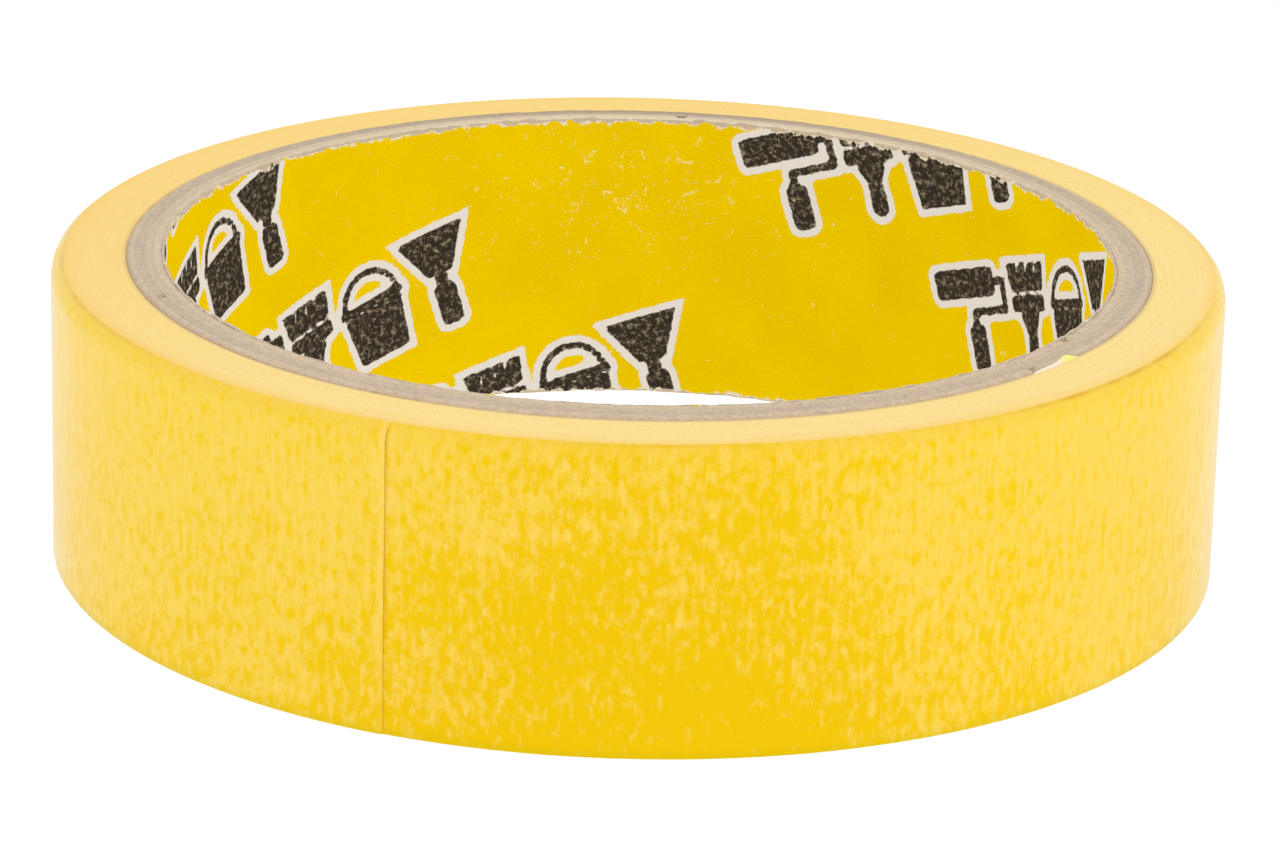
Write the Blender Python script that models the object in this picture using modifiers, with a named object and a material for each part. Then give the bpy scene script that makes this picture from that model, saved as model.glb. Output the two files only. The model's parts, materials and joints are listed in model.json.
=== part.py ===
"""Masking tape roll: a strip of crepe paper tape wound on a spiral-wound cardboard core.

The roll lies on its side face, its axis is +Z and its origin is the centre of the face it
rests on. Azimuths are measured about +Z from -Y, and grow towards +X. The free end of the
tape is a chain of short lengths, each hinged to the one before, that peels off the roll.
"""

import math

import bmesh
import bpy
from mathutils import Matrix, Vector

MM = 0.001

# Driving dimensions, in millimetres and degrees.
BORE_RADIUS = 38.1  # a 3 inch core
CORE_RADIUS = 41.1
CORE_WIDTH = 24.8
ROLL_RADIUS = 47.1  # at the free end, the outermost point of the spiral
TAPE_WIDTH = 24.6
TAPE_THICKNESS = 0.14
LINER_THICKNESS = 0.2
PLY_COUNT = 4
LAYER_GAP = 0.3  # room left between neighbouring papers
TURN_GAP = 0.16  # room left under the last turn of tape

SEAM_SLOPE = 18.0  # the core's papers are wound at this angle to the roll's face
SEAM_GAP = 0.3
LINER_SEAM_AZIMUTH = 0.0
SEAM_STAGGER = 116.3

END_AZIMUTH = -23.0  # where the free end of the tape lies on the roll
FOLD_COUNT = 4  # short lengths, where the peeled tape turns away from the roll
FOLD_ANGLE = 3.75
TAB_COUNT = 5  # longer lengths, which stay nearly straight
TAB_ANGLE = 7.8
CUT_GAP = 0.3  # between two lengths of the free end

TURN_STEPS = 120
STEP_ANGLE = 360.0 / TURN_STEPS
SEAM_STEPS = 32

TURN_PITCH = TAPE_THICKNESS + TURN_GAP
PLY_THICKNESS = (
    CORE_RADIUS - BORE_RADIUS - LINER_THICKNESS - PLY_COUNT * LAYER_GAP
) / PLY_COUNT

# Colour, roughness and metallic value of each material.
CREPE_TAPE = ("crepe_tape", (0.90, 0.62, 0.10, 1.0), 0.75, 0.0)
CHIPBOARD = ("core_chipboard", (0.52, 0.43, 0.36, 1.0), 0.9, 0.0)
PRINTED_LINER = ("core_liner_paper", (0.86, 0.57, 0.01, 1.0), 0.6, 0.0)


def clear_scene():
    for scene_object in list(bpy.data.objects):
        bpy.data.objects.remove(scene_object, do_unlink=True)


def make_collection(name):
    collection = bpy.data.collections.new(name)
    bpy.context.scene.collection.children.link(collection)
    return collection


def make_material(name, colour, roughness, metallic):
    material = bpy.data.materials.new(name)
    material.use_nodes = True
    shader = material.node_tree.nodes["Principled BSDF"]
    shader.inputs["Base Color"].default_value = colour
    shader.inputs["Roughness"].default_value = roughness
    shader.inputs["Metallic"].default_value = metallic
    return material


def add_object(name, data, collection, material=None):
    scene_object = bpy.data.objects.new(name, data)
    collection.objects.link(scene_object)
    if material is not None:
        data.materials.append(material)
    return scene_object


def around(radius, azimuth, height=0.0):
    """The point at this radius, azimuth and height, given in millimetres and degrees."""
    angle = math.radians(azimuth)
    return Vector((radius * math.sin(angle), -radius * math.cos(angle), height)) * MM


def shade_round(mesh):
    mesh.shade_smooth()
    mesh.set_sharp_from_angle(angle=math.radians(35.0))


def turned_ring(name, inner_radius, outer_radius, width, collection, material):
    """A plain ring that stands on the resting face: a rectangle turned about +Z."""
    mesh = bpy.data.meshes.new(name)
    profile = bmesh.new()
    corners = (
        (outer_radius, width),
        (outer_radius, 0.0),
        (inner_radius, 0.0),
        (inner_radius, width),
    )
    vertices = [profile.verts.new(Vector((x, 0.0, z)) * MM) for x, z in corners]
    for index, vertex in enumerate(vertices):
        profile.edges.new((vertex, vertices[(index + 1) % len(vertices)]))
    profile.to_mesh(mesh)
    profile.free()
    ring = add_object(name, mesh, collection, material)
    screw = ring.modifiers.new("Turned about the roll's axis", "SCREW")
    screw.axis = "Z"
    screw.angle = math.tau
    screw.steps = TURN_STEPS
    screw.render_steps = TURN_STEPS
    screw.use_merge_vertices = True
    screw.merge_threshold = 0.00001
    return ring


def wrapped_sheet(name, columns, rows, position):
    """A flat grid whose corners, from (0, 0) to (1, 1), are moved to position(u, v)."""
    sheet = bmesh.new()
    bmesh.ops.create_grid(sheet, x_segments=columns, y_segments=rows, size=0.5)
    for vertex in sheet.verts:
        vertex.co = position(vertex.co.x + 0.5, vertex.co.y + 0.5)
    mesh = bpy.data.meshes.new(name)
    sheet.to_mesh(mesh)
    sheet.free()
    return mesh


def thicken(scene_object, thickness, offset):
    solidify = scene_object.modifiers.new("Paper thickness", "SOLIDIFY")
    solidify.thickness = thickness * MM
    solidify.offset = offset
    solidify.use_even_offset = True


def seam_cutter(name, inner_radius, outer_radius, azimuth, collection):
    """A helical blade along the joint where the two edges of one wound paper meet."""
    overrun = 2.0
    rise = CORE_WIDTH + 2 * overrun
    turn = math.degrees(rise / (BORE_RADIUS * math.tan(math.radians(SEAM_SLOPE))))

    def position(u, v):
        radius = inner_radius - LAYER_GAP / 2 + v * (outer_radius - inner_radius + LAYER_GAP)
        return around(radius, azimuth + (0.5 - u) * turn, u * rise - overrun)

    cutter = add_object(name, wrapped_sheet(name, SEAM_STEPS, 1, position), collection)
    thicken(cutter, SEAM_GAP, 0.0)
    cutter.hide_render = True
    cutter.display_type = "WIRE"
    return cutter


def core_paper(name, inner_radius, thickness, seam_azimuth, parts, cutters, material):
    """One paper of the core: a strip wound once round, whose edges meet at a sloping seam."""
    outer_radius = inner_radius + thickness
    paper = turned_ring(name, inner_radius, outer_radius, CORE_WIDTH, parts, material)
    cut = paper.modifiers.new("Butt seam", "BOOLEAN")
    cut.operation = "DIFFERENCE"
    cut.solver = "EXACT"
    cut.object = seam_cutter(
        name + "_seam", inner_radius, outer_radius, seam_azimuth, cutters
    )
    return paper


def make_core(parts, cutters):
    """The printed liner inside, and the grey chipboard plies wound over it."""
    liner = make_material(*PRINTED_LINER)
    chipboard = make_material(*CHIPBOARD)
    core_paper(
        "core_liner", BORE_RADIUS, LINER_THICKNESS, LINER_SEAM_AZIMUTH, parts, cutters, liner
    )
    for index in range(PLY_COUNT):
        inner_radius = (
            BORE_RADIUS
            + LINER_THICKNESS
            + LAYER_GAP
            + index * (PLY_THICKNESS + LAYER_GAP)
        )
        core_paper(
            f"core_ply_{index + 1}",
            inner_radius,
            PLY_THICKNESS,
            LINER_SEAM_AZIMUTH + (index + 1) * SEAM_STAGGER,
            parts,
            cutters,
            chipboard,
        )


def turn_radius(azimuth):
    """The outer radius of the last turn of tape, which climbs one layer in one turn."""
    return ROLL_RADIUS - TURN_PITCH * (END_AZIMUTH - azimuth) / 360.0


def make_windings(parts, material):
    """All the turns under the last one, as one body with the spiral's step in its side."""
    outline = bpy.data.curves.new("tape_windings", "CURVE")
    outline.dimensions = "2D"
    outline.fill_mode = "BOTH"
    outline.extrude = TAPE_WIDTH / 2 * MM
    azimuths = [END_AZIMUTH - 360.0 + step * STEP_ANGLE for step in range(TURN_STEPS + 1)]
    outside = [around(turn_radius(azimuth) - TURN_PITCH, azimuth) for azimuth in azimuths]
    inside = [around(CORE_RADIUS + LAYER_GAP, azimuth) for azimuth in azimuths[:-1]]
    for points in (outside, inside):
        spline = outline.splines.new("POLY")
        spline.points.add(len(points) - 1)
        spline.use_cyclic_u = True
        for point, place in zip(spline.points, points):
            point.co = (*place, 1.0)
    windings = add_object("tape_windings", outline, parts, material)
    windings.location.z = TAPE_WIDTH / 2 * MM


def tape_length(name, start, end, origin, parts, material):
    """A length of the last turn between two azimuths, in the frame of the matrix origin."""
    first = math.ceil(start / STEP_ANGLE - END_AZIMUTH / STEP_ANGLE + 0.01)
    last = math.floor(end / STEP_ANGLE - END_AZIMUTH / STEP_ANGLE - 0.01)
    inner_azimuths = [END_AZIMUTH + step * STEP_ANGLE for step in range(first, last + 1)]
    azimuths = [start, *inner_azimuths, end]
    to_local = origin.inverted()

    def position(u, v):
        azimuth = azimuths[round(u * (len(azimuths) - 1))]
        return to_local @ around(turn_radius(azimuth), azimuth, v * TAPE_WIDTH)

    mesh = wrapped_sheet(name, len(azimuths) - 1, 1, position)
    length = add_object(name, mesh, parts, material)
    thicken(length, TAPE_THICKNESS, -1.0)
    shade_round(mesh)
    return length


def hinge_frame(azimuth):
    """The frame of a fold line: on the outer surface of the tape, turned with the roll."""
    place = Matrix.Translation(around(turn_radius(azimuth), azimuth))
    return place @ Matrix.Rotation(math.radians(azimuth), 4, "Z")


def free_end_lengths():
    """The name and the share of the roll of each length that peels, from the root to the tip."""
    folds = [(f"tape_fold_{index + 1}", FOLD_ANGLE) for index in range(FOLD_COUNT)]
    tabs = [(f"tape_end_{index + 1}", TAB_ANGLE) for index in range(TAB_COUNT)]
    return folds + tabs


def make_last_turn(parts, material):
    """The last turn still stuck down, then the free end that peels off it."""
    half_gap = math.degrees(CUT_GAP / 2 / ROLL_RADIUS)
    start = END_AZIMUTH - sum(angle for name, angle in free_end_lengths())
    tape_length(
        "tape_outer_turn",
        END_AZIMUTH - 360.0 + half_gap,
        start - half_gap,
        Matrix.Identity(4),
        parts,
        material,
    )
    parent = None
    parent_frame = Matrix.Identity(4)
    for name, angle in free_end_lengths():
        frame = hinge_frame(start)
        end = start + angle
        length = tape_length(name, start + half_gap, end - half_gap, frame, parts, material)
        length.parent = parent
        length.matrix_local = parent_frame.inverted() @ frame
        parent = length
        parent_frame = frame
        start = end


def main():
    clear_scene()
    parts = make_collection("masking_tape_roll")
    cutters = make_collection("seam_cutters")
    make_core(parts, cutters)
    tape = make_material(*CREPE_TAPE)
    make_windings(parts, tape)
    make_last_turn(parts, tape)


main()
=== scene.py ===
"""The visible model of a roll of masking tape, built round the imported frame.

Azimuths are in degrees about +Z from -Y and grow towards +X. Lengths named in the constants
are in millimetres; everything that goes into a mesh is turned into metres by MM.
"""

import json
import math

import bpy
import numpy as np
from mathutils import Matrix, Vector

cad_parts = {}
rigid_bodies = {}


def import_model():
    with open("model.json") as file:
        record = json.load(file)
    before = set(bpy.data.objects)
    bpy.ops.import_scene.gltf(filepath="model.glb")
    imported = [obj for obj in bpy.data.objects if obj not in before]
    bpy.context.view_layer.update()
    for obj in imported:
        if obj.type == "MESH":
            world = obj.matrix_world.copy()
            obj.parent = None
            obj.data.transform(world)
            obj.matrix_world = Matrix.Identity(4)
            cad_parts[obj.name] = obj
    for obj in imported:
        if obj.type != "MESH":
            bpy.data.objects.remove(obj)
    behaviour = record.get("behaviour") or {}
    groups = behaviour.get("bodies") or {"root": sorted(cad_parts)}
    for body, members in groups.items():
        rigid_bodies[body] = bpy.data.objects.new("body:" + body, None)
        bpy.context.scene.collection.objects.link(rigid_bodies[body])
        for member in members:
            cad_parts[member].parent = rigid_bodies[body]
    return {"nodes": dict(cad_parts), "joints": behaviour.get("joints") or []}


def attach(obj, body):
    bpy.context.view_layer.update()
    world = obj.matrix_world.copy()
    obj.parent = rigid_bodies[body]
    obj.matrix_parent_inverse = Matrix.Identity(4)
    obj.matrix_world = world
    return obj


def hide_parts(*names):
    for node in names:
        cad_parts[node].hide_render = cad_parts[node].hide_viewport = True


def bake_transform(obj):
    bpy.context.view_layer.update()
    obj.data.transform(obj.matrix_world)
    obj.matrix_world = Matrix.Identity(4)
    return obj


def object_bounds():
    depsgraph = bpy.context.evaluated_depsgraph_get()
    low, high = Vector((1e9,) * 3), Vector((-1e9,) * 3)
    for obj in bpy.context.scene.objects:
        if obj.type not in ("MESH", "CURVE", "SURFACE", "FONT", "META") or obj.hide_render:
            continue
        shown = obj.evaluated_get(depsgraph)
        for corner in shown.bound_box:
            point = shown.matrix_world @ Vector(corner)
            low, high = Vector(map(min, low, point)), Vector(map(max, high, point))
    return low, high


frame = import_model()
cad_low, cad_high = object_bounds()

MM = 0.001

# The strip of tape.
PAPER = 0.13  # thickness
PITCH = 0.15  # how much one turn adds to the radius
SLACK = 0.02  # between the last turn and the turns under it
CUT_GAP = 0.3  # the frame leaves this much between two lengths of the free end
CORE_GAP = 0.29  # and this much between the tape and the core, which is closed here
CREPE_RELIEF = 0.035  # half the depth of the wrinkles
TOP_SHOULDER = 1.55  # the radius that the outer turns' upper edge is pressed to
BOTTOM_SHOULDER = 0.18  # the same at the lower edge
CURL = 66.0  # degrees of the top shoulder that the last turn follows
LOW_CURL = 60.0  # degrees of the bottom shoulder that it follows
COLUMN = 0.3  # spacing of the mesh along the strip
ROW = 0.72  # and across it
# The front lobe is painted shade: deeper colour at the front, where the sheen of the sides is
# missing. The other lobes are the paper's own uneven colour.
SHADED_FRONT = (2.0, 24.0, 1.0)  # where the paper is deeper in colour: centre, reach, weight
SOAKED_RIGHT = (118.0, 40.0, 0.6)
SOAKED_BACK = (-148.0, 34.0, 0.8)
# Where the painted shade along the strip's upper cut edge is strong: centre, reach, weight.
EDGE_SHADE_FRONT = ((-74.0, 17.0, 0.45), (2.0, 9.0, 0.34), (56.0, 17.0, 0.75))
EDGE_SHADE_BACK = ((128.0, 24.0, 0.5), (-140.0, 30.0, 0.5))

# The sliver of the strip's first end.
SLIVER_START = 46.8  # azimuth
SLIVER_SPAN = 8.0  # degrees
SLIVER_THICKNESS = 0.12

# The core.
RIM_RELIEF = 0.05  # half the roughness of the plies' cut edges
PLY_CLEARANCE = 0.003  # half the gap between two plies
NOTCH_DEPTH = 0.5  # where the two edges of one ply meet at the rim
NOTCH_REACH = 0.35  # degrees to each side
OUTER_PLY_ROUNDING = 0.19
LINER_PAPER = 0.14
LINER_CELL = 0.42  # size of the liner's mesh cells
SEAM_SLOPE = 18.0  # degrees
SEAM_GAP = 0.12
SEAM_STAGGER = 116.3  # degrees from one ply's seam to the next

# Light.
ROOM_LIGHT = 0.97
FLOOR_GREY = 0.12
FLOOR_GLOW = 0.98
SOFTBOX_DISTANCE = 1.3  # metres
SOFTBOX_SIZE = 0.7  # metres
SOFTBOX_ELEVATION = 35.0  # degrees

# The camera.
CAMERA_ELEVATION = 19.07  # degrees
CAMERA_DISTANCE = 475.15
CAMERA_AIM = (0.36, 0.0, 10.04)
CAMERA_ROLL = 1.4345  # degrees
CAMERA_LENS = 164.7  # for a sensor 36 mm wide


# ---------------------------------------------------------------- measures of the frame


def ring_of(node):
    """Inner radius, outer radius, bottom and top of a CAD node round the axis, in mm."""
    places = np.array([vertex.co for vertex in frame["nodes"][node].data.vertices]) / MM
    radii = np.hypot(places[:, 0], places[:, 1])
    return radii.min(), radii.max(), places[:, 2].min(), places[:, 2].max()


def azimuth_of(x, y):
    return np.degrees(np.arctan2(x, -y))


BORE, LINER_OUTSIDE, CORE_BOTTOM, CORE_TOP = ring_of("core_liner")
PLY_OUTSIDES = [ring_of(f"core_ply_{index}")[1] for index in (1, 2, 3, 4)]
TAPE_INSIDE, _, TAPE_BOTTOM, TAPE_TOP = ring_of("tape_windings")
HINGES = [
    (azimuth_of(joint["pos_m"][0], joint["pos_m"][1]), joint["parent"], joint["child"])
    for joint in frame["joints"]
]
tip_places = np.array([v.co for v in frame["nodes"]["tape_end_5"].data.vertices]) / MM
ROLL_RADIUS = np.hypot(tip_places[:, 0], tip_places[:, 1]).max()
HALF_CUT = math.degrees(CUT_GAP / 2 / ROLL_RADIUS)
END_AZIMUTH = azimuth_of(tip_places[:, 0], tip_places[:, 1]).max() + HALF_CUT
ARC = math.radians(1.0) * ROLL_RADIUS  # mm along the wall for one degree


# ---------------------------------------------------------------- random detail


def noise(seed, x, y, cell_x, cell_y, period=64):
    """Smooth random values from -1 to 1, which repeat after period cells along y."""
    table = np.random.default_rng(seed).uniform(-1.0, 1.0, (1024, period))
    grid_x = np.asarray(x, float) / cell_x
    grid_y = np.asarray(y, float) / cell_y
    column = np.floor(grid_x).astype(int)
    row = np.floor(grid_y).astype(int)
    s = grid_x - column
    t = grid_y - row
    s = s * s * (3 - 2 * s)
    t = t * t * (3 - 2 * t)
    value = (1 - s) * (1 - t) * table[column % 1024, row % period]
    value += s * (1 - t) * table[(column + 1) % 1024, row % period]
    value += (1 - s) * t * table[column % 1024, (row + 1) % period]
    value += s * t * table[(column + 1) % 1024, (row + 1) % period]
    return value


def around_noise(seed, x, azimuth, cell_x, cells):
    """Noise along x that closes on itself round the roll, in this many cells."""
    return noise(seed, x, np.asarray(azimuth) / 360.0 * cells, cell_x, 1.0, cells)


def smooth(value, low, high):
    t = np.clip((np.asarray(value, float) - low) / (high - low), 0.0, 1.0)
    return t * t * (3 - 2 * t)


def crepe(arc, across):
    """The creped paper's relief from about -1 to 1: wrinkles that run across the strip."""
    drift = 1.3 * noise(11, arc, across, 7.0, 5.0)
    fine = noise(12, arc + drift, across, 0.62, 2.4)
    broad = noise(13, arc + drift, across, 1.5, 4.5)
    slow = noise(14, arc, across, 11.0, 9.0)
    return 0.55 * fine + 0.35 * broad + 0.5 * slow


# ---------------------------------------------------------------- meshes


def place(radius, azimuth, height):
    """Points in metres, from arrays in mm and degrees."""
    angle = np.radians(azimuth)
    x, y, z = np.broadcast_arrays(
        radius * np.sin(angle), -radius * np.cos(angle), height
    )
    return np.stack([x, y, z], -1) * MM


def grid_quads(columns, rows, wrap_columns=False, wrap_rows=False):
    """Quads of a grid whose vertex (c, r) has the number c * rows + r, facing c x r."""
    c, r = np.meshgrid(
        np.arange(columns if wrap_columns else columns - 1),
        np.arange(rows if wrap_rows else rows - 1),
        indexing="ij",
    )
    next_c = (c + 1) % columns
    next_r = (r + 1) % rows
    corners = [c * rows + r, next_c * rows + r, next_c * rows + next_r, c * rows + next_r]
    return np.stack(corners, -1).reshape(-1, 4)


def solid_quads(columns, rows):
    """Quads of a thin solid: an outer grid, an inner grid after it, and the edges between.

    Also says which of the quads are outside (0), inside (1) and at an edge (2).
    """
    count = columns * rows
    outer = grid_quads(columns, rows)
    inner = outer[:, ::-1] + count
    low = np.arange(columns - 1) * rows
    next_low = low + rows
    high = low + rows - 1
    next_high = high + rows
    first = np.arange(rows - 1)
    last = first + (columns - 1) * rows
    edge = np.concatenate(
        [
            np.stack([high, next_high, count + next_high, count + high], -1),
            np.stack([next_low, low, count + low, count + next_low], -1),
            np.stack([first, first + 1, count + first + 1, count + first], -1),
            np.stack([last + 1, last, count + last, count + last + 1], -1),
        ]
    )
    kinds = np.repeat([0, 1, 2], [len(outer), len(inner), len(edge)])
    return np.concatenate([outer, inner, edge]), kinds


def make_piece(name, places, quads, materials, slots=None, sharp=40.0, **attributes):
    """An object from arrays, with one float or vector attribute per vertex for each name."""
    mesh = bpy.data.meshes.new(name)
    mesh.from_pydata(places.reshape(-1, 3).tolist(), [], quads.tolist())
    for material in materials:
        mesh.materials.append(material)
    if slots is not None:
        mesh.polygons.foreach_set("material_index", slots.astype(np.int32))
    mesh.shade_smooth()
    mesh.set_sharp_from_angle(angle=math.radians(sharp))
    for key, values in attributes.items():
        values = np.asarray(values, np.float32)
        if values.ndim == 2:
            layer = mesh.attributes.new(key, "FLOAT_VECTOR", "POINT")
            layer.data.foreach_set("vector", values.ravel())
        else:
            layer = mesh.attributes.new(key, "FLOAT", "POINT")
            layer.data.foreach_set("value", values)
    piece = bpy.data.objects.new(name, mesh)
    bpy.context.scene.collection.objects.link(piece)
    return piece


# ---------------------------------------------------------------- materials


class Graph:
    """A material's nodes, built up from small calls that return output sockets."""

    def __init__(self, name):
        self.material = bpy.data.materials.new(name)
        self.material.use_nodes = True
        self.tree = self.material.node_tree
        self.shader = self.tree.nodes["Principled BSDF"]

    def node(self, kind, inputs, output=0, **settings):
        made = self.tree.nodes.new(kind)
        for key, value in settings.items():
            setattr(made, key, value)
        for key, value in inputs.items():
            self.feed(made.inputs[key], value)
        return made.outputs[output]

    def feed(self, socket, value):
        if isinstance(value, bpy.types.NodeSocket):
            self.tree.links.new(value, socket)
        else:
            socket.default_value = value

    def attribute(self, name, output="Vector"):
        return self.node("ShaderNodeAttribute", {}, output, attribute_name=name)

    def object_place(self):
        """The place on the object, in mm."""
        place_in_metres = self.node("ShaderNodeTexCoord", {}, "Object")
        return self.scaled(place_in_metres, (1 / MM, 1 / MM, 1 / MM))

    def scaled(self, vector, scale, shift=(0, 0, 0)):
        return self.node(
            "ShaderNodeMapping", {"Vector": vector, "Scale": scale, "Location": shift}
        )

    def math(self, operation, a, b=0.0):
        return self.node("ShaderNodeMath", {0: a, 1: b}, operation=operation)

    def noise(self, vector, detail, roughness=0.5, distortion=0.0):
        return self.node(
            "ShaderNodeTexNoise",
            {
                "Vector": vector,
                "Scale": 1.0,
                "Detail": detail,
                "Roughness": roughness,
                "Distortion": distortion,
            },
            "Fac",
        )

    def step(self, value, low, high, out_low=0.0, out_high=1.0):
        return self.node(
            "ShaderNodeMapRange",
            {0: value, 1: low, 2: high, 3: out_low, 4: out_high},
            interpolation_type="SMOOTHSTEP",
        )

    def mix(self, factor, a, b):
        made = self.tree.nodes.new("ShaderNodeMix")
        made.data_type = "RGBA"
        self.feed(made.inputs[0], factor)
        self.feed(made.inputs[6], a if isinstance(a, bpy.types.NodeSocket) else (*a, 1.0))
        self.feed(made.inputs[7], b if isinstance(b, bpy.types.NodeSocket) else (*b, 1.0))
        return made.outputs[2]

    def bump(self, height, distance):
        return self.node(
            "ShaderNodeBump", {"Height": height, "Distance": distance * MM, "Strength": 1.0}
        )

    def finish(self, colour, roughness, normal, specular, sheen=0.0, sheen_roughness=0.5):
        self.feed(self.shader.inputs["Base Color"], colour)
        self.feed(self.shader.inputs["Roughness"], roughness)
        self.feed(self.shader.inputs["Normal"], normal)
        self.shader.inputs["Specular IOR Level"].default_value = specular
        self.shader.inputs["Sheen Weight"].default_value = sheen
        self.shader.inputs["Sheen Roughness"].default_value = sheen_roughness
        return self.material


def crepe_paper(name):
    """Yellow crepe paper: soft blotches and fine streaks that run across the strip."""
    graph = Graph(name)
    strip = graph.attribute("tape_mm")
    tone = graph.attribute("tone", "Fac")
    blotches = graph.noise(graph.scaled(strip, (1.35, 0.78, 1.0)), 2.0, 0.60, 0.15)
    clouds = graph.noise(graph.scaled(strip, (0.10, 0.12, 1.0), (1, 5, 0)), 2.0)
    streaks = graph.noise(graph.scaled(strip, (2.6, 0.30, 1.0), (3, 9, 0)), 2.0, 0.55)
    mottle = graph.noise(graph.scaled(strip, (1.7, 0.9, 1.0), (7, 3, 0)), 2.0, 0.6, 0.2)
    # The depth attribute deepens the colour. It is painted shade at the front and low down, and
    # the paper's own uneven colour elsewhere.
    deep = graph.attribute("deep", "Fac")
    lip = graph.attribute("lip", "Fac")
    patches = graph.math("MULTIPLY", graph.math("SUBTRACT", clouds, 0.5), 0.5)
    patches = graph.math("MULTIPLY", patches, graph.step(deep, 0.0, 0.9, 0.6, 1.0))
    wet = graph.math("ADD", blotches, patches)
    wet = graph.math("ADD", wet, graph.math("MULTIPLY", streaks, -0.32))
    wet = graph.math("ADD", wet, graph.math("MULTIPLY", deep, 0.22))
    wet = graph.step(wet, 0.315, 0.605)
    dry = graph.math("ADD", mottle, graph.math("MULTIPLY", streaks, 0.9))
    dry = graph.step(graph.math("SUBTRACT", dry, graph.math("MULTIPLY", deep, 0.06)), 0.84, 1.20)
    colour = graph.mix(deep, (0.915, 0.640, 0.078), (0.902, 0.606, 0.066))
    colour = graph.mix(graph.math("MULTIPLY", dry, 0.7), colour, (0.940, 0.655, 0.135))
    soaked = graph.mix(deep, (0.885, 0.595, 0.004), (0.850, 0.532, 0.0))
    colour = graph.mix(wet, colour, soaked)
    # Painted shade on the rounded top shoulder: a slightly darker colour where the strip turns
    # over.
    colour = graph.mix(graph.step(lip, 0.4, 1.0, 0.0, 0.45), colour, (0.905, 0.600, 0.055))
    # Positive tone darkens: painted shade at the free end's step, along the lower edge and along
    # the upper cut edge.
    shaded = graph.mix(graph.step(lip, 0.2, 0.6), (0.64, 0.49, 0.0), (0.76, 0.45, 0.04))
    colour = graph.mix(graph.math("MAXIMUM", tone, 0.0), colour, shaded)
    pale_tone = graph.math("MAXIMUM", graph.math("MULTIPLY", tone, -1.0), 0.0)
    colour = graph.mix(pale_tone, colour, (0.96, 0.68, 0.16))
    fibres = graph.noise(graph.scaled(strip, (6.0, 1.4, 1.0)), 3.0, 0.65)
    height = graph.math("ADD", fibres, graph.math("MULTIPLY", streaks, 1.2))
    roughness = graph.step(fibres, 0.2, 0.8, 0.62, 0.82)
    return graph.finish(colour, roughness, graph.bump(height, 0.03), 0.03, 0.90, 0.31)


def adhesive_side(name):
    """The tape's sticky side: the same paper seen through a thin film of adhesive."""
    graph = Graph(name)
    strip = graph.attribute("tape_mm")
    blotches = graph.noise(graph.scaled(strip, (0.8, 0.45, 1.0), (20, 0, 0)), 2.5, 0.6, 0.4)
    grain = graph.noise(graph.scaled(strip, (5.0, 1.5, 1.0), (9, 9, 0)), 2.0, 0.6)
    colour = graph.mix(graph.step(blotches, 0.3, 0.7), (0.86, 0.58, 0.06), (0.92, 0.70, 0.20))
    roughness = graph.step(blotches, 0.3, 0.7, 0.28, 0.45)
    return graph.finish(colour, roughness, graph.bump(grain, 0.03), 0.4)


def tape_side(name):
    """The roll's side face: the pale edges of many turns of tape."""
    graph = Graph(name)
    spot = graph.object_place()
    split = graph.tree.nodes.new("ShaderNodeSeparateXYZ")
    graph.feed(split.inputs[0], spot)
    x, y = split.outputs[0], split.outputs[1]
    square = graph.math("ADD", graph.math("MULTIPLY", x, x), graph.math("MULTIPLY", y, y))
    radius = graph.math("SQRT", square)
    drift = graph.noise(graph.scaled(spot, (0.05, 0.05, 0.05)), 1.0)
    across_rings = graph.math("MULTIPLY", radius, 7.0)
    along_rings = graph.math("MULTIPLY", drift, 5.0)
    ring_place = graph.node("ShaderNodeCombineXYZ", {0: across_rings, 1: along_rings})
    rings = graph.noise(ring_place, 3.0, 0.65)
    specks = graph.noise(graph.scaled(spot, (4.6, 4.6, 4.6)), 2.5, 0.65)
    clouds = graph.noise(graph.scaled(spot, (0.16, 0.16, 0.16)), 2.0)
    colour = graph.mix(graph.step(rings, 0.25, 0.75), (0.945, 0.680, 0.20), (0.980, 0.755, 0.32))
    colour = graph.mix(graph.step(specks, 0.56, 0.74), colour, (0.93, 0.62, 0.15))
    colour = graph.mix(graph.step(specks, 0.44, 0.28), colour, (0.995, 0.81, 0.43))
    colour = graph.mix(graph.step(clouds, 0.3, 0.8, 0.0, 0.3), colour, (0.97, 0.74, 0.30))
    outer_edge = graph.step(radius, ROLL_RADIUS - 2.4, ROLL_RADIUS - 0.7, 0.0, 0.75)
    colour = graph.mix(outer_edge, colour, (0.950, 0.640, 0.165))
    outmost = graph.step(radius, ROLL_RADIUS - 1.5, ROLL_RADIUS - 0.5)
    outmost = graph.math("MULTIPLY", outmost, graph.step(clouds, 0.35, 0.65, 0.2, 0.75))
    colour = graph.mix(outmost, colour, (0.925, 0.560, 0.090))
    # Painted shadow in the gap where the tape meets the core.
    inner_edge_shadow = graph.step(radius, TAPE_INSIDE + 0.2, TAPE_INSIDE - 0.25, 0.0, 0.45)
    colour = graph.mix(inner_edge_shadow, colour, (0.46, 0.34, 0.20))
    # Painted shade: the face a little darker and less cream towards the back and the left.
    back = graph.math("MULTIPLY", y, 0.8)
    far_side_shade = graph.math("SUBTRACT", back, graph.math("MULTIPLY", x, 0.6))
    colour = graph.mix(graph.step(far_side_shade, -30.0, 40.0, 0.0, 0.5), colour, (0.935, 0.622, 0.150))
    height = graph.math("ADD", rings, graph.math("MULTIPLY", specks, 0.5))
    return graph.finish(colour, 0.8, graph.bump(height, 0.06), 0.05, 0.12)


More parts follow.
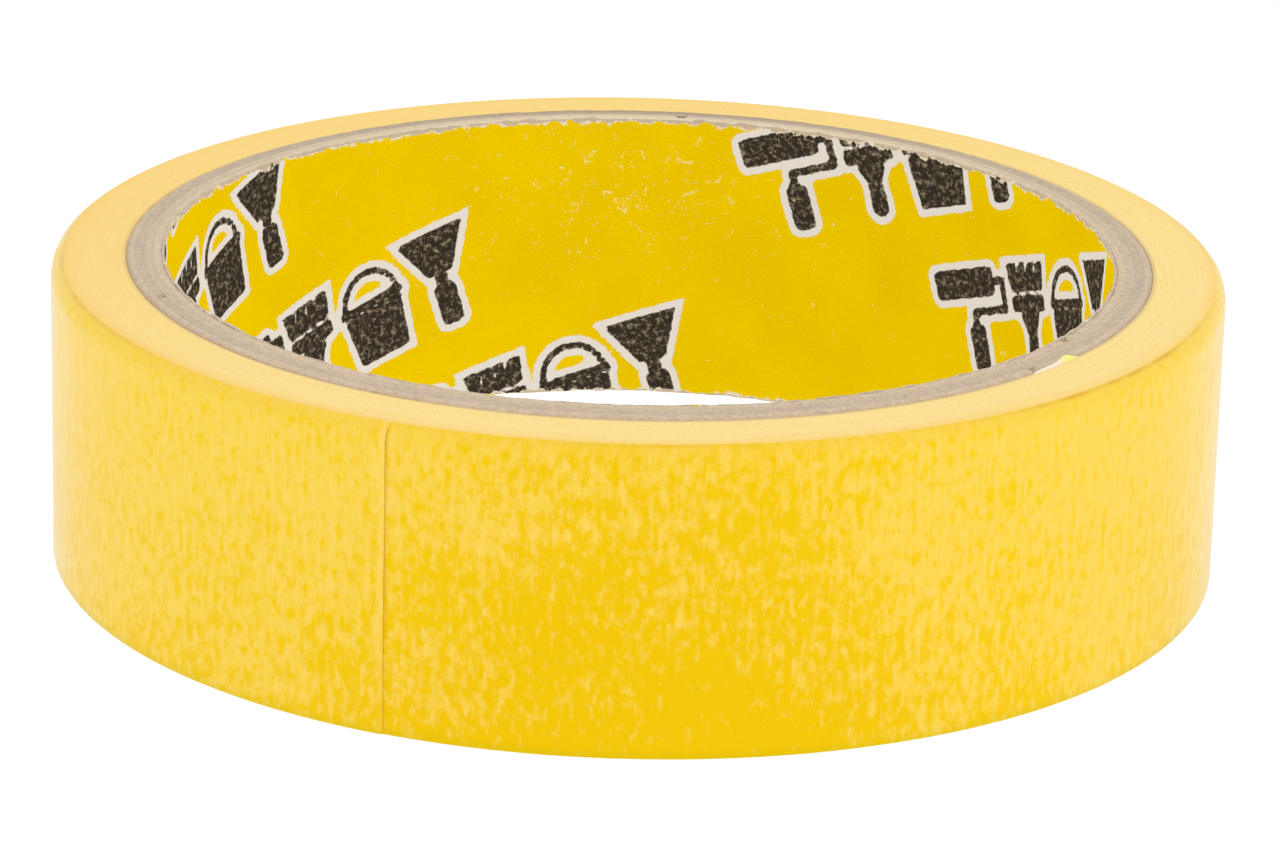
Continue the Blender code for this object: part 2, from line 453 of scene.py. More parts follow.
def chipboard(name, dark, light):
    """Grey chipboard seen at its cut edge: short fibres and dark flecks."""
    graph = Graph(name)
    spot = graph.object_place()
    fibres = graph.noise(graph.scaled(spot, (2.6, 2.6, 2.6)), 4.0, 0.7, 0.5)
    flecks = graph.noise(graph.scaled(spot, (4.5, 4.5, 4.5), (5, 0, 2)), 2.0, 0.6)
    clouds = graph.noise(graph.scaled(spot, (0.25, 0.25, 0.25)), 2.0)
    colour = graph.mix(graph.step(fibres, 0.28, 0.72), dark, light)
    colour = graph.mix(graph.step(flecks, 0.62, 0.72, 0.0, 0.6), colour, (0.26, 0.19, 0.13))
    colour = graph.mix(graph.step(flecks, 0.36, 0.26, 0.0, 0.7), colour, (0.86, 0.735, 0.60))
    colour = graph.mix(graph.step(clouds, 0.35, 0.75, 0.0, 0.25), colour, light)
    # The shade attribute paints light and shade on the rim: positive is painted shade, negative
    # painted light.
    shade = graph.attribute("shade", "Fac")
    colour = graph.mix(graph.math("MAXIMUM", shade, 0.0), colour, (0.33, 0.25, 0.17))
    painted_light = graph.math("MAXIMUM", graph.math("MULTIPLY", shade, -1.0), 0.0)
    colour = graph.mix(painted_light, colour, (0.86, 0.72, 0.48))
    return graph.finish(colour, 0.9, graph.bump(fibres, 0.12), 0.05, 0.1)


def torn_paper(name):
    """Pale paper fibres where the tape was torn."""
    graph = Graph(name)
    spot = graph.object_place()
    fibres = graph.noise(graph.scaled(spot, (5.0, 5.0, 5.0)), 3.0, 0.7)
    yellow = graph.mix(graph.step(fibres, 0.3, 0.7), (0.93, 0.84, 0.16), (0.97, 0.90, 0.42))
    white = graph.mix(graph.step(fibres, 0.3, 0.7), (0.90, 0.78, 0.58), (0.97, 0.92, 0.82))
    colour = graph.mix(graph.attribute("bleached", "Fac"), yellow, white)
    return graph.finish(colour, 0.8, graph.bump(fibres, 0.05), 0.0, 0.1)


def printed_liner(name):
    """Saturated yellow paper with charcoal pictograms, scuffs, and white torn edges."""
    graph = Graph(name)
    sheet = graph.attribute("liner_mm")
    distance = graph.attribute("print_mm", "Fac")
    edge = graph.attribute("edge_mm", "Fac")
    wear = graph.attribute("wear", "Fac")
    clouds = graph.noise(graph.scaled(sheet, (0.12, 0.12, 1.0)), 2.0)
    grain = graph.noise(graph.scaled(sheet, (3.2, 3.2, 1.0)), 3.0, 0.6)
    colour = graph.mix(graph.step(clouds, 0.3, 0.7), (0.835, 0.580, 0.0), (0.875, 0.620, 0.0))
    colour = graph.mix(graph.step(grain, 0.5, 0.8, 0.0, 0.3), colour, (0.89, 0.645, 0.0))
    wobble = graph.noise(graph.scaled(sheet, (1.5, 1.5, 1.0), (3, 3, 0)), 2.0, 0.6)
    wobble = graph.math("MULTIPLY", graph.math("SUBTRACT", wobble, 0.5), 0.35)
    ink_distance = graph.math("ADD", distance, wobble)
    colour = graph.mix(graph.step(ink_distance, 0.68, 0.54), colour, (0.80, 0.775, 0.765))
    pits = graph.noise(graph.scaled(sheet, (1.9, 1.9, 1.0), (8, 1, 0)), 4.0, 0.75)
    ink = graph.mix(graph.step(pits, 0.48, 0.72), (0.036, 0.029, 0.022), (0.36, 0.31, 0.22))
    colour = graph.mix(graph.step(ink_distance, 0.05, -0.07), colour, ink)
    scuffs = graph.noise(graph.scaled(sheet, (0.95, 1.15, 1.0), (4, 7, 0)), 3.0, 0.75, 1.2)
    scuffs = graph.math("ADD", scuffs, graph.math("MULTIPLY", wear, 0.085))
    colour = graph.mix(graph.step(scuffs, 0.665, 0.77, 0.0, 0.8), colour, (0.93, 0.78, 0.36))
    ragged = graph.noise(graph.scaled(sheet, (0.75, 0.75, 1.0), (1, 9, 0)), 3.0, 0.6)
    ragged = graph.math("SUBTRACT", edge, graph.math("MULTIPLY", ragged, 1.3))
    fuzz = graph.noise(graph.scaled(sheet, (1.1, 1.1, 1.0), (5, 2, 0)), 3.0, 0.7)
    fuzz_width = graph.step(fuzz, 0.42, 0.68, -0.50, -0.16)
    torn = graph.mix(graph.step(grain, 0.3, 0.7), (0.52, 0.42, 0.31), (0.66, 0.55, 0.43))
    fuzzy = graph.step(graph.math("SUBTRACT", ragged, fuzz_width), 0.05, -0.05)
    colour = graph.mix(fuzzy, colour, (0.82, 0.75, 0.62))
    colour = graph.mix(graph.step(ragged, -0.46, -0.54), colour, torn)
    height = graph.math("ADD", grain, graph.math("MULTIPLY", scuffs, -0.8))
    return graph.finish(colour, 0.5, graph.bump(height, 0.03), 0.0)


# ---------------------------------------------------------------- the strip of tape


def strip_radius(azimuth):
    """The outer radius of the strip; azimuths below END_AZIMUTH - 360 are turns beneath."""
    return ROLL_RADIUS - PITCH * (END_AZIMUTH - azimuth) / 360.0


def strip_profile():
    """The strip's section: inset, height, direction of its face, and place across it."""
    low_bend = np.radians(np.linspace(LOW_CURL, 0.0, 4))
    rows = round((TAPE_TOP - TAPE_BOTTOM - TOP_SHOULDER - BOTTOM_SHOULDER) / ROW)
    heights = np.linspace(TAPE_BOTTOM + BOTTOM_SHOULDER, TAPE_TOP - TOP_SHOULDER, rows + 1)
    high_bend = np.radians(np.linspace(0.0, CURL, 9))
    inset = np.concatenate(
        [
            BOTTOM_SHOULDER * (1 - np.cos(low_bend)),
            np.zeros(rows - 1),
            TOP_SHOULDER * (1 - np.cos(high_bend)),
        ]
    )
    height = np.concatenate(
        [
            heights[0] - BOTTOM_SHOULDER * np.sin(low_bend),
            heights[1:-1],
            heights[-1] + TOP_SHOULDER * np.sin(high_bend),
        ]
    )
    tilt = np.concatenate([-low_bend, np.zeros(rows - 1), high_bend])
    across = np.concatenate(
        [
            heights[0] - BOTTOM_SHOULDER * low_bend,
            heights[1:-1],
            heights[-1] + TOP_SHOULDER * high_bend,
        ]
    )
    return inset, height, tilt, across


def lobes(azimuth, *places):
    """A sum of soft lobes round the roll, each with a centre, a reach and a weight."""
    total = 0.0 * azimuth
    for centre, reach, weight in places:
        away = (azimuth - centre + 180.0) % 360.0 - 180.0
        total = total + weight * np.exp(-((away / reach) ** 2))
    return total


def depth_and_shade_of_colour(azimuth, across):
    """Depth of colour: painted shade at the front and low down, own colour in a few broad
    places.
    """
    depth = lobes(azimuth, SHADED_FRONT, SOAKED_RIGHT, SOAKED_BACK)
    share = np.clip((across - TAPE_BOTTOM) / (TAPE_TOP - TAPE_BOTTOM), 0.0, 1.0)
    return depth * (1.12 - 0.5 * share) + 0.55 * (1 - share) ** 1.7


def rim_line(azimuth, tilt):
    """Painted shade: a brown line along the strip's upper cut edge, uneven and faint in places.
    """
    strength = lobes(azimuth, *EDGE_SHADE_FRONT)
    strength = strength + lobes(azimuth, *EDGE_SHADE_BACK)
    strength = strength + 0.08 * around_noise(34, 0 * azimuth, azimuth, 1.0, 9)
    strength = strength * (1 + 0.6 * around_noise(35, 0 * azimuth, azimuth, 1.0, 210))
    strength = np.maximum(strength + 0.03, 0.0)
    line = smooth(tilt, math.radians(CURL * 0.74), math.radians(CURL * 0.95))
    return 1.25 * strength * line


def strip_piece(name, azimuths, tone, lift=None):
    """A stretch of the last turn between the first and last of the azimuths."""
    inset, height, tilt, across = strip_profile()
    azimuth = azimuths[:, None]
    arc = azimuth * ARC
    relief = CREPE_RELIEF * crepe(arc, across[None, :]) * np.cos(tilt) ** 2
    if lift is not None:
        relief = relief + lift(azimuth, across[None, :])
    radius = strip_radius(azimuth) - inset + relief * np.cos(tilt)
    outside = place(radius, azimuth, height + relief * np.sin(tilt))
    inside = place(
        radius - PAPER * np.cos(tilt),
        azimuth,
        height + relief * np.sin(tilt) - PAPER * np.sin(tilt),
    )
    coords = np.stack(
        np.broadcast_arrays(arc, across[None, :], np.zeros_like(relief)), -1
    ).reshape(-1, 3)
    tones = tone(azimuth, across[None, :]) + 0 * relief
    # Painted shade along the strip's lower edge, where it turns under towards the floor.
    foot = smooth(across, TAPE_BOTTOM + 0.75, TAPE_BOTTOM)[None, :]
    tones = tones + rim_line(azimuth, tilt[None, :]) + 0.5 * foot
    # How far the strip has turned over the top shoulder, which sets the painted shade there.
    lips = smooth(tilt, 0.0, math.radians(CURL * 0.6))[None, :] + 0 * relief
    depth_and_shade_values = depth_and_shade_of_colour(azimuth, across[None, :]) + 0 * relief
    quads, kinds = solid_quads(len(azimuths), len(across))
    inside_quads = kinds == 1
    inside_tones = np.where(np.abs(tilt) > 0.6, 0.3, 0.0) + 0 * relief
    return make_piece(
        name,
        np.concatenate([outside.reshape(-1, 3), inside.reshape(-1, 3)]),
        quads,
        (crepe_material, adhesive_material),
        np.where(inside_quads, 1, 0),
        tape_mm=np.concatenate([coords, coords]),
        tone=np.concatenate([tones.ravel(), inside_tones.ravel()]),
        lip=np.concatenate([lips.ravel(), lips.ravel()]),
        deep=np.concatenate([depth_and_shade_values.ravel(), depth_and_shade_values.ravel()]),
    )


def columns_between(start, end):
    count = max(2, round((end - start) * ARC / COLUMN))
    return np.linspace(start, end, count + 1)


# ---------------------------------------------------------------- the tape

crepe_material = crepe_paper("crepe_tape")
adhesive_material = adhesive_side("tape_adhesive")
side_material = tape_side("tape_side_face")


def make_windings():
    """All the turns under the last one: side faces of many edges, and the crepe wall."""
    exposed = HINGES[0][0] - 4.0
    step_width = 0.1
    azimuths = np.concatenate(
        [
            [END_AZIMUTH - 360.0 + step_width],
            np.arange(END_AZIMUTH - 359.0, exposed, 0.75),
            columns_between(exposed, END_AZIMUTH),
        ]
    )
    azimuth = azimuths[:, None]
    wall_radius = strip_radius(azimuth - 360.0)
    offset = PAPER + SLACK
    bend = np.radians(
        [0.0, 16.0, 32.0, 46.0, 56.0, 61.0, 63.0, 64.5, 66.0, 67.5, 70.0, 76.0, 83.0, 90.0]
    )
    # Past the last turn's upper edge, the shoulder widens by the thickness of that turn.
    settle = offset * smooth(np.degrees(bend), CURL - 4.0, CURL + 0.8)
    rows = 24
    heights = np.linspace(TAPE_BOTTOM + BOTTOM_SHOULDER, TAPE_TOP - TOP_SHOULDER, rows)
    inner = TAPE_INSIDE - CORE_GAP
    across_top = np.arange(TOP_SHOULDER, ROLL_RADIUS - inner - 0.05, 0.072)
    across_bottom = np.linspace(0.0, 1.0, 44)

    wall_relief = CREPE_RELIEF * crepe((azimuth - 360.0) * ARC, heights[None, :])
    wall = place(wall_radius + wall_relief, azimuth, heights[None, :])
    wall_top = TAPE_TOP - TOP_SHOULDER + 0 * bend[None, :]
    shoulder_relief = CREPE_RELIEF * crepe((azimuth - 360.0) * ARC, wall_top) * np.cos(bend)
    rounding = TOP_SHOULDER - offset
    shoulder_radius = wall_radius - rounding + (rounding + settle) * np.cos(bend)
    shoulder_radius = shoulder_radius + shoulder_relief
    shoulder_height = TAPE_TOP - TOP_SHOULDER + (rounding + settle) * np.sin(bend)
    shoulder = place(shoulder_radius, azimuth, shoulder_height + 0 * azimuth)[:, 1:]
    depth = across_top[None, 1:]
    ring = 0.020 * around_noise(21, depth, azimuth, 0.17, 9)
    ring += 0.035 * around_noise(22, depth, azimuth, 0.7, 6)
    ring += 0.012 * around_noise(23, depth, azimuth, 0.2, 260)
    ring *= smooth(depth, TOP_SHOULDER, TOP_SHOULDER + 0.3)
    top_radius = wall_radius + offset - depth
    top_radius = np.maximum(top_radius, inner + 0.02 * (across_top[-1] - depth))
    top = place(top_radius, azimuth, TAPE_TOP + ring)
    inside = np.stack(
        [
            place(np.full_like(azimuth, inner), azimuth, TAPE_TOP - 0.05)[:, 0],
            place(np.full_like(azimuth, inner), azimuth, TAPE_BOTTOM + 0.05)[:, 0],
        ],
        1,
    )
    bottom_radius = inner + (wall_radius - 0.25 - inner) * across_bottom[None, :]
    under = 0.02 * around_noise(24, bottom_radius, azimuth, 0.21, 9)
    under = np.abs(under) * smooth(across_bottom, 0.0, 0.05)
    bottom = place(bottom_radius, azimuth, TAPE_BOTTOM + under)

    places = np.concatenate([wall, shoulder, top, inside, bottom], 1)
    columns, points = places.shape[:2]
    quads = grid_quads(columns, points, True, True)
    wall_quads = (quads.min(1) % points < rows - 1) & (quads.max(1) % points <= rows)
    across = np.zeros((columns, points))
    across[:, :rows] = heights
    across[:, rows:] = TAPE_TOP - TOP_SHOULDER
    coords = np.stack(
        np.broadcast_arrays((azimuth - 360.0) * ARC, across, np.zeros_like(across)), -1
    )
    piece = make_piece(
        "tape_windings_body",
        places,
        quads,
        (crepe_material, side_material),
        np.where(wall_quads, 0, 1),
        50.0,
        tape_mm=coords.reshape(-1, 3),
        tone=np.zeros(columns * points),
        lip=np.zeros(columns * points),
        deep=depth_and_shade_of_colour(azimuth, across).ravel(),
    )
    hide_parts("tape_windings")
    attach(piece, "roll")


def tip_lift(azimuth, across):
    """The free end's last half millimetre isn't stuck down, most of all near its top."""
    behind = (END_AZIMUTH - azimuth) * ARC
    loose = 0.5 + 0.5 * noise(31, across, 0 * across, 3.2, 1.0)
    loose = loose * smooth(across, 1.0, 9.0)
    return 0.045 * loose * np.exp(-behind / 0.5)


def tip_tone(azimuth, across):
    """Pale where the paper has come away from the turn under it, and a little less pale along
    the cut.
    """
    behind = (END_AZIMUTH - azimuth) * ARC
    loose = 0.75 + 0.25 * noise(32, across, 0 * across, 1.8, 1.0)
    loose = loose * smooth(across, 0.5, 8.0)
    pale = smooth(behind, 0.75, 0.30) * loose
    dark = smooth(behind, 0.12, 0.02) * smooth(across, TAPE_TOP, TAPE_TOP - 3.0)
    return -0.55 * pale * (1 - dark) - 0.30 * dark


def start_tone(azimuth, across):
    """The paper beside the free end's step: shaded at the step, pale above and beyond it."""
    beyond = (azimuth - END_AZIMUTH + 360.0) * ARC
    shade = 0.16 * smooth(beyond, 0.46, 0.0) * (0.4 + 0.6 * smooth(across, 1.0, 9.0))
    shade = shade * smooth(across, TAPE_TOP, TAPE_TOP - 3.0)
    pale = smooth(beyond, 1.3, 0.25) * smooth(across, 13.0, 21.0)
    pale = pale * (0.7 + 0.3 * noise(33, across, beyond, 1.6, 0.5))
    return shade - 0.5 * pale * smooth(beyond, 0.25, 0.45)


def make_last_turn():
    """The last turn still stuck down."""
    first = END_AZIMUTH - 360.0
    last = HINGES[0][0] - (HINGES[1][0] - HINGES[0][0]) / 2
    fine = first + np.array([0.0, 0.03, 0.07, 0.12, 0.18, 0.26, 0.38]) / ARC
    azimuths = np.concatenate([fine, columns_between(first + 0.6 / ARC, last)])
    piece = strip_piece("tape_outer_turn_strip", azimuths, start_tone)
    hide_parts("tape_outer_turn")
    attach(piece, "roll")


def make_free_end():
    """The free end: one piece across each fold line, then the tip.

    Each piece runs from the middle of one length to the middle of the next.
    """
    nodes = [body.replace("free_", "tape_") for _, _, body in HINGES]
    lines = [azimuth for azimuth, _, _ in HINGES] + [END_AZIMUTH]
    halves = [(lines[i + 1] - lines[i]) / 2 for i in range(len(HINGES))]
    halves.insert(0, halves[0])
    for index, (line, parent, child) in enumerate(HINGES):
        start = line - halves[index]
        end = line + halves[index + 1]
        name = f"free_end_strip_{index + 1}"
        piece = strip_piece(name, columns_between(start, end), tip_tone, tip_lift)
        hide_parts(nodes[index])
        reach = min(halves[index], halves[index + 1])
        begin = place(strip_radius(line), line, 12.2)
        direction = place(strip_radius(line), line + 90.0, 0.0)
        direction = direction / np.linalg.norm(direction) * reach * ARC * MM
        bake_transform(piece)
    start = END_AZIMUTH - halves[-1]
    fine = END_AZIMUTH - np.array([0.9, 0.7, 0.55, 0.42, 0.3, 0.2, 0.12, 0.06, 0.0]) / ARC
    azimuths = np.concatenate([columns_between(start, fine[0] - 0.2 / ARC), fine])
    tip = strip_piece("free_end_tip", azimuths, tip_tone, tip_lift)
    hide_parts(nodes[-1])
    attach(tip, HINGES[-1][2])


def make_inner_start():
    """The strip's first end, creased where it begins on the core: a sliver stands proud."""
    u = np.linspace(0.0, 1.0, 16)[:, None]
    v = np.linspace(0.0, 1.0, 5)[None, :]
    azimuth = SLIVER_START + SLIVER_SPAN * u
    crest = 0.38 * (4 * u * (1 - u)) ** 0.5 + 0.62 * np.exp(-(((u - 0.76) / 0.17) ** 2))
    wave = noise(71, 9.0 * u, 2.0 * v, 1.6, 1.0)
    height = TAPE_TOP - 0.2 + (0.24 + 0.42 * crest + 0.08 * wave) * v**0.6
    radius = TAPE_INSIDE - 0.18 - 0.30 * crest * v * v
    outside = place(radius + SLIVER_THICKNESS, azimuth, height)
    inside = place(radius, azimuth, height)
    quads = solid_quads(u.size, v.size)[0]
    piece = make_piece(
        "tape_inner_start",
        np.concatenate([outside.reshape(-1, 3), inside.reshape(-1, 3)]),
        quads,
        (torn_paper("tape_torn_start"),),
        bleached=np.tile((smooth(0.62 - u, -0.08, 0.08) + 0 * v).ravel(), 2),
    )
    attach(piece, "roll")


# ---------------------------------------------------------------- the core


def make_ply(index, inner_radius, outer_radius, seam, material):
    """One chipboard ply: a ring with a rough cut rim and a notch where its edges meet."""
    azimuths = np.arange(0.0, 360.0, 0.5)
    azimuth = azimuths[:, None]
    share = np.linspace(0.0, 1.0, 6)
    radii = outer_radius - (outer_radius - inner_radius) * share
    seam_turn = math.degrees(
        (CORE_TOP - CORE_BOTTOM) / (BORE * math.tan(math.radians(SEAM_SLOPE)))
    )

    def rim(sign, seed):
        rough = 0.6 * around_noise(seed, radii, azimuth, 0.25, 420)
        rough = rough + 0.6 * around_noise(seed + 1, radii, azimuth, 0.6, 150)
        edge = 1 - np.abs(2 * share - 1) ** 4
        away = (azimuth - (seam - sign * seam_turn / 2) + 180.0) % 360.0 - 180.0
        notch = NOTCH_DEPTH * np.exp(-((away / NOTCH_REACH) ** 2))
        if index == len(PLY_OUTSIDES):
            notch = notch + OUTER_PLY_ROUNDING * (1 - smooth(share, 0.0, 0.4))
        return RIM_RELIEF * rough * edge - 0.012 * (1 - edge) - notch

    top = place(radii[None, :], azimuth, CORE_TOP + rim(1, 40 + 10 * index))
    bottom = place(radii[None, ::-1], azimuth, CORE_BOTTOM - rim(-1, 45 + 10 * index)[:, ::-1])
    # Painted shade at each ply's edges. At the back, painted shade on the outer plies and
    # painted light on the inner ones.
    behind = np.exp(-(((azimuth - 180.0) / 55.0) ** 2))
    shade = 0.08 * (2 * share - 1) ** 4 + behind * (-0.75, -0.45, 0.30, 0.70)[index - 1]
    # Painted shade along the outer ply's outer edge, all round but the front.
    if index == len(PLY_OUTSIDES):
        far = smooth(np.abs(azimuth - 180.0), 150.0, 100.0)
        shade = shade + smooth(share, 0.45, 0.0) * 0.28 * far
    places = np.concatenate([top, bottom], 1)
    columns, points = places.shape[:2]
    piece = make_piece(
        f"core_ply_{index}_board",
        places,
        grid_quads(columns, points, True, True),
        (material,),
        sharp=60.0,
        shade=np.concatenate([shade, shade[:, ::-1]], 1).ravel(),
    )
    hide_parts(f"core_ply_{index}")
    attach(piece, "roll")


# ---- pictograms on the liner: distances in mm, negative inside a shape


def box_distance(x, y, centre, half, rounding):
    dx = np.abs(x - centre[0]) - half[0] + rounding
    dy = np.abs(y - centre[1]) - half[1] + rounding
    outside = np.hypot(np.maximum(dx, 0.0), np.maximum(dy, 0.0))
    return outside + np.minimum(np.maximum(dx, dy), 0.0) - rounding


def rod_distance(x, y, start, end, start_radius, end_radius):
    ax, ay = start
    bx, by = end
    length = (bx - ax) ** 2 + (by - ay) ** 2
    t = np.clip(((x - ax) * (bx - ax) + (y - ay) * (by - ay)) / length, 0.0, 1.0)
    gap = np.hypot(x - ax - t * (bx - ax), y - ay - t * (by - ay))
    return gap - (start_radius + (end_radius - start_radius) * t)


def blade_distance(x, y, low, high, low_half, high_half):
    """A trapezoid that stands on a line, wider at one end."""
    slope = (high_half - low_half) / (high - low)
    half = low_half + slope * (y - low)
    side = (np.abs(x) - half) / math.hypot(1.0, slope)
    return np.maximum(side, np.maximum(low - y, y - high))


def roller_pictogram(x, y):
    shape = box_distance(x, y, (-0.5, 7.7), (3.5, 1.3), 0.4)
    bends = [(3.0, 7.7), (4.1, 7.7), (4.1, 5.2), (0.0, 5.2), (0.0, 4.0)]
    for start, end in zip(bends, bends[1:]):
        shape = np.minimum(shape, rod_distance(x, y, start, end, 0.36, 0.36))
    return np.minimum(shape, box_distance(x, y, (0.0, 2.1), (1.0, 2.05), 0.6))


def brush_pictogram(x, y):
    shape = blade_distance(x, y, 6.6, 9.1, 2.35, 2.75)
    for groove in (-1.2, 0.1, 1.3):
        shape = np.maximum(shape, -rod_distance(x, y, (groove, 9.4), (groove, 7.9), 0.16, 0.1))
    shape = np.minimum(shape, box_distance(x, y, (0.0, 5.6), (2.45, 0.72), 0.25))
    shape = np.minimum(shape, rod_distance(x, y, (0.0, 4.3), (0.0, 3.2), 1.35, 0.75))
    return np.minimum(shape, rod_distance(x, y, (0.0, 3.2), (0.0, 0.9), 0.7, 0.85))


def bucket_pictogram(x, y):
    shape = blade_distance(x, y, 0.2, 5.0, 2.5, 3.0)
    shape = np.minimum(shape, box_distance(x, y, (0.0, 5.45), (3.3, 0.4), 0.2))
    bail = np.abs(np.hypot(x, y - 5.6) - 2.75) - 0.3
    return np.minimum(shape, np.maximum(bail, 5.6 - y))


def scraper_pictogram(x, y):
    shape = blade_distance(x, y, 4.9, 9.0, 1.2, 3.3)
    shape = np.minimum(shape, box_distance(x, y, (0.0, 4.5), (0.6, 0.6), 0.1))
    return np.minimum(shape, box_distance(x, y, (0.0, 2.0), (1.05, 1.95), 0.55))


PICTOGRAMS = (
    (roller_pictogram, 4.2),
    (brush_pictogram, 11.8),
    (bucket_pictogram, 18.6),
    (scraper_pictogram, 25.6),
)
PRINT_FIRST = (-61.3, 12.2)  # one group's place along the liner from the back, and up
PRINT_ACROSS = (19.2, -8.7)  # from one group to the next
PRINT_UP = (51.5, 15.6)  # from one row of groups to the next
PRINT_RAISE = 4.6  # from a group's foot to its place
FAR_FROM_PRINT = 9.0


def print_distance(along, height):
    """The distance to the nearest pictogram, on the unrolled liner seen from the axis."""
    tilt = math.radians(SEAM_SLOPE)
    nearest = np.full(np.broadcast(along, height).shape, FAR_FROM_PRINT)
    for m in range(-9, 10):
        for n in range(-4, 5):
            left = PRINT_FIRST[0] + m * PRINT_ACROSS[0] + n * PRINT_UP[0]
            low = PRINT_FIRST[1] + m * PRINT_ACROSS[1] + n * PRINT_UP[1]
            if not -14.0 < low < 27.0 or not -190.0 < left < 160.0:
                continue
            dx = along - left
            dy = height - low
            x = dx * math.cos(tilt) + dy * math.sin(tilt)
            y = dy * math.cos(tilt) - dx * math.sin(tilt) + PRINT_RAISE
            for pictogram, centre in PICTOGRAMS:
                nearest = np.minimum(nearest, pictogram(x - centre, y))
    return nearest


def make_liner():
    """The printed liner: one sheet wound round, whose edges meet at a sloping seam."""
    tall = CORE_TOP - CORE_BOTTOM
    turn = math.degrees(tall / (BORE * math.tan(math.radians(SEAM_SLOPE))))
    gap = math.degrees(SEAM_GAP / math.sin(math.radians(SEAM_SLOPE)) / BORE)
    start = -turn / 2 + gap
    end = 360.0 + turn / 2 - gap
    columns = round(math.radians(end - start) * BORE / LINER_CELL)
    rows = round(tall / LINER_CELL)
    azimuth = np.linspace(start, end, columns + 1)[:, None]
    low = np.clip(0.5 - (azimuth - gap / 2) / turn, 0.0, 1.0)
    high = np.clip(0.5 - (azimuth - 360.0 + gap / 2) / turn, 0.0, 1.0)
    v = low + (high - low) * np.linspace(0.0, 1.0, rows + 1)[None, :]
    ragged_top = 0.10 * around_noise(61, 0 * azimuth, azimuth, 1.0, 342)
    ragged_top = ragged_top + 0.08 * around_noise(62, 0 * azimuth, azimuth, 1.0, 92)
    trimmed = lobes(azimuth, (0.0, 50.0, 1.0))
    ragged_top = ragged_top * (1 - 0.6 * trimmed) - 0.07 * trimmed
    ragged_low = 0.06 * around_noise(63, 0 * azimuth, azimuth, 1.0, 300)
    height = CORE_BOTTOM + 0.07 + ragged_low * (1 - v) ** 8
    height = height + (tall - 0.07 + 0.04) * v + ragged_top * v**12
    along = np.radians(180.0 - azimuth) * BORE
    burr = 0.5 + 0.5 * around_noise(64, 0 * azimuth, azimuth, 1.0, 218)
    burr = 0.10 * burr * smooth(height, CORE_TOP - 0.7, CORE_TOP)
    ripple = 0.05 * noise(65, along, height, 9.0, 6.0)
    inner_radius = BORE - burr + ripple
    inner = place(inner_radius, azimuth, height)
    outer_radius = np.maximum(inner_radius + LINER_PAPER, LINER_OUTSIDE - 0.02)
    outer = place(outer_radius, azimuth, height)
    quads = solid_quads(columns + 1, rows + 1)[0]
    distance = print_distance(along, height)
    edge = np.minimum(height - CORE_BOTTOM, CORE_TOP - height)
    coords = np.stack(np.broadcast_arrays(along, height, np.zeros_like(height)), -1)
    unprinted = np.full_like(distance, FAR_FROM_PRINT)
    wear = np.exp(-(((along + 1.0) / 17.0) ** 2) - ((height - 19.0) / 9.0) ** 2)
    piece = make_piece(
        "core_liner_sheet",
        np.concatenate([outer.reshape(-1, 3), inner.reshape(-1, 3)]),
        quads,
        (printed_liner("core_liner_paper"),),
        liner_mm=np.concatenate([coords.reshape(-1, 3)] * 2),
        print_mm=np.concatenate([unprinted.ravel(), distance.ravel()]),
        edge_mm=np.concatenate([np.zeros(edge.size), edge.ravel()]),
        wear=np.concatenate([wear.ravel(), wear.ravel()]),
    )
    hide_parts("core_liner")
    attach(piece, "roll")


def make_core():
    shades = (
        ((0.56, 0.434, 0.291), (0.75, 0.589, 0.419)),
        ((0.52, 0.405, 0.282), (0.70, 0.550, 0.400)),
        ((0.49, 0.386, 0.282), (0.66, 0.521, 0.382)),
        ((0.55, 0.425, 0.300), (0.74, 0.579, 0.428)),
    )
    seams = tuple(index * SEAM_STAGGER for index in (1, 2, 3, 4))
    inner_radius = LINER_OUTSIDE
    for index, outer_radius in enumerate(PLY_OUTSIDES):
        material = chipboard(f"core_chipboard_{index + 1}", *shades[index])
        inside, outside = inner_radius + PLY_CLEARANCE, outer_radius - PLY_CLEARANCE
        make_ply(index + 1, inside, outside, seams[index], material)
        inner_radius = outer_radius
    make_liner()


# ---------------------------------------------------------------- floor, light and camera


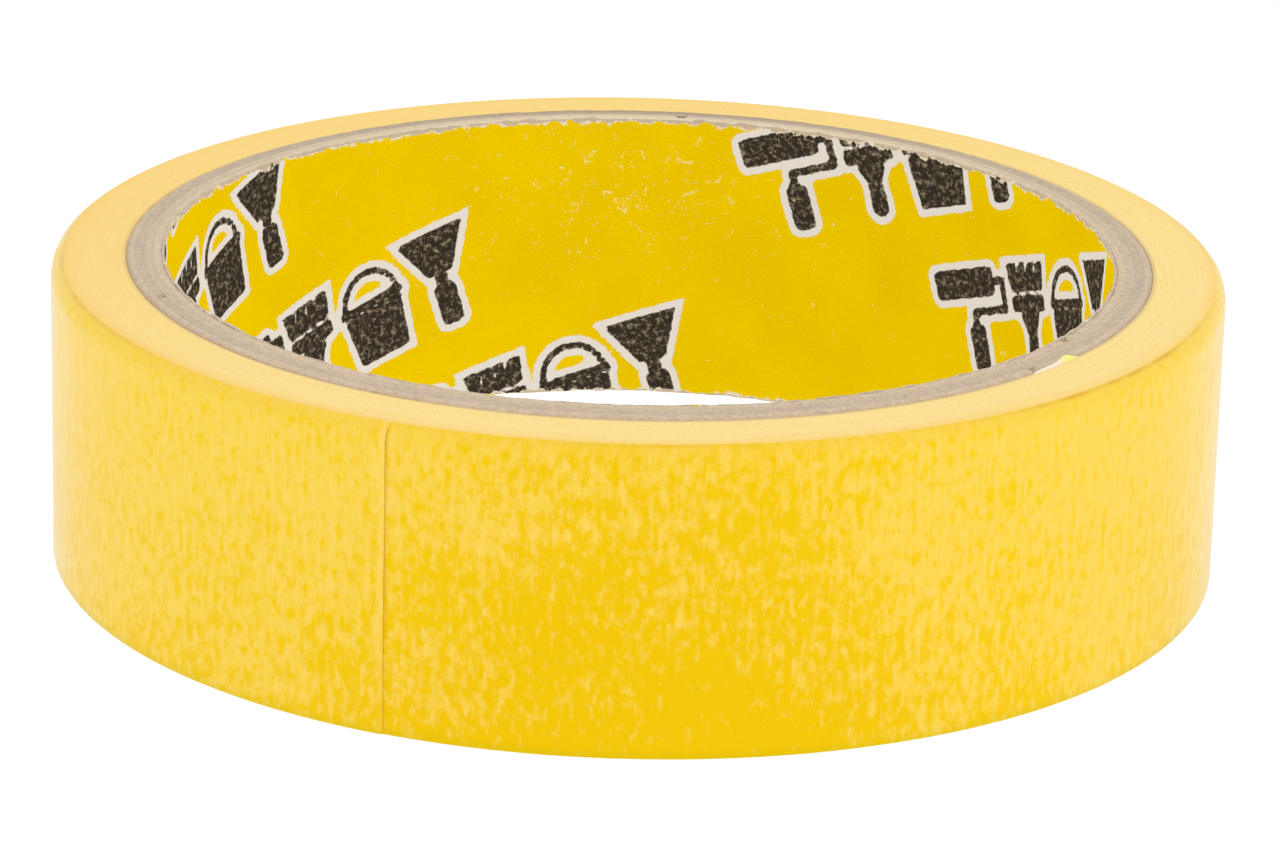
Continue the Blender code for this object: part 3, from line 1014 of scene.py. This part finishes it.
def make_stage():
    floor_mesh = bpy.data.meshes.new("floor")
    reach = 3.0
    corners = [(-reach, -reach, 0), (reach, -reach, 0), (reach, reach, 0), (-reach, reach, 0)]
    floor_mesh.from_pydata(corners, [], [(0, 1, 2, 3)])
    floor = bpy.data.objects.new("floor", floor_mesh)
    floor.location.z = cad_low.z - 0.0001
    bpy.context.scene.collection.objects.link(floor)
    material = bpy.data.materials.new("white_floor")
    material.use_nodes = True
    shader = material.node_tree.nodes["Principled BSDF"]
    shader.inputs["Base Color"].default_value = (FLOOR_GREY, FLOOR_GREY, FLOOR_GREY, 1.0)
    shader.inputs["Roughness"].default_value = 1.0
    shader.inputs["Specular IOR Level"].default_value = 0.0
    shader.inputs["Emission Color"].default_value = (1.0, 1.0, 1.0, 1.0)
    shader.inputs["Emission Strength"].default_value = FLOOR_GLOW
    floor_mesh.materials.append(material)


def add_softbox(name, azimuth, power):
    """A square area light that looks at the roll."""
    light = bpy.data.lights.new(name, "AREA")
    light.shape = "SQUARE"
    light.size = SOFTBOX_SIZE
    light.energy = power
    softbox = bpy.data.objects.new(name, light)
    bpy.context.scene.collection.objects.link(softbox)
    a = math.radians(azimuth)
    e = math.radians(SOFTBOX_ELEVATION)
    direction = Vector((math.sin(a) * math.cos(e), -math.cos(a) * math.cos(e), math.sin(e)))
    softbox.location = direction * SOFTBOX_DISTANCE
    softbox.rotation_mode = "QUATERNION"
    softbox.rotation_quaternion = direction.to_track_quat("Z", "Y")


def light_scene():
    world = bpy.data.worlds.new("white_room")
    bpy.context.scene.world = world
    world.use_nodes = True
    background = world.node_tree.nodes["Background"]
    background.inputs["Color"].default_value = (1.0, 1.0, 1.0, 1.0)
    background.inputs["Strength"].default_value = ROOM_LIGHT
    add_softbox("softbox_right", azimuth=60.0, power=1.6)
    add_softbox("softbox_left", azimuth=-75.0, power=0.5)
    bpy.context.scene.view_settings.view_transform = "Standard"


def make_camera():
    camera = bpy.data.cameras.new("camera")
    camera.sensor_width = 36.0
    camera.lens = CAMERA_LENS
    camera.clip_start = 0.01
    camera.clip_end = 20.0
    holder = bpy.data.objects.new("camera", camera)
    bpy.context.scene.collection.objects.link(holder)
    elevation = math.radians(CAMERA_ELEVATION)
    back = Vector((0.0, -math.cos(elevation), math.sin(elevation)))
    aim = Vector(CAMERA_AIM) * MM
    place_of_eye = aim + back * CAMERA_DISTANCE * MM
    place_of_eye.x = 0.0
    look = (aim - place_of_eye).normalized()
    turn = look.to_track_quat("-Z", "Y").to_matrix()
    turn = turn @ Matrix.Rotation(math.radians(CAMERA_ROLL), 3, "Z")
    holder.matrix_world = Matrix.Translation(place_of_eye) @ turn.to_4x4()
    bpy.context.scene.camera = holder


make_camera()
light_scene()
make_stage()
make_windings()
make_last_turn()
make_free_end()
make_inner_start()
make_core()
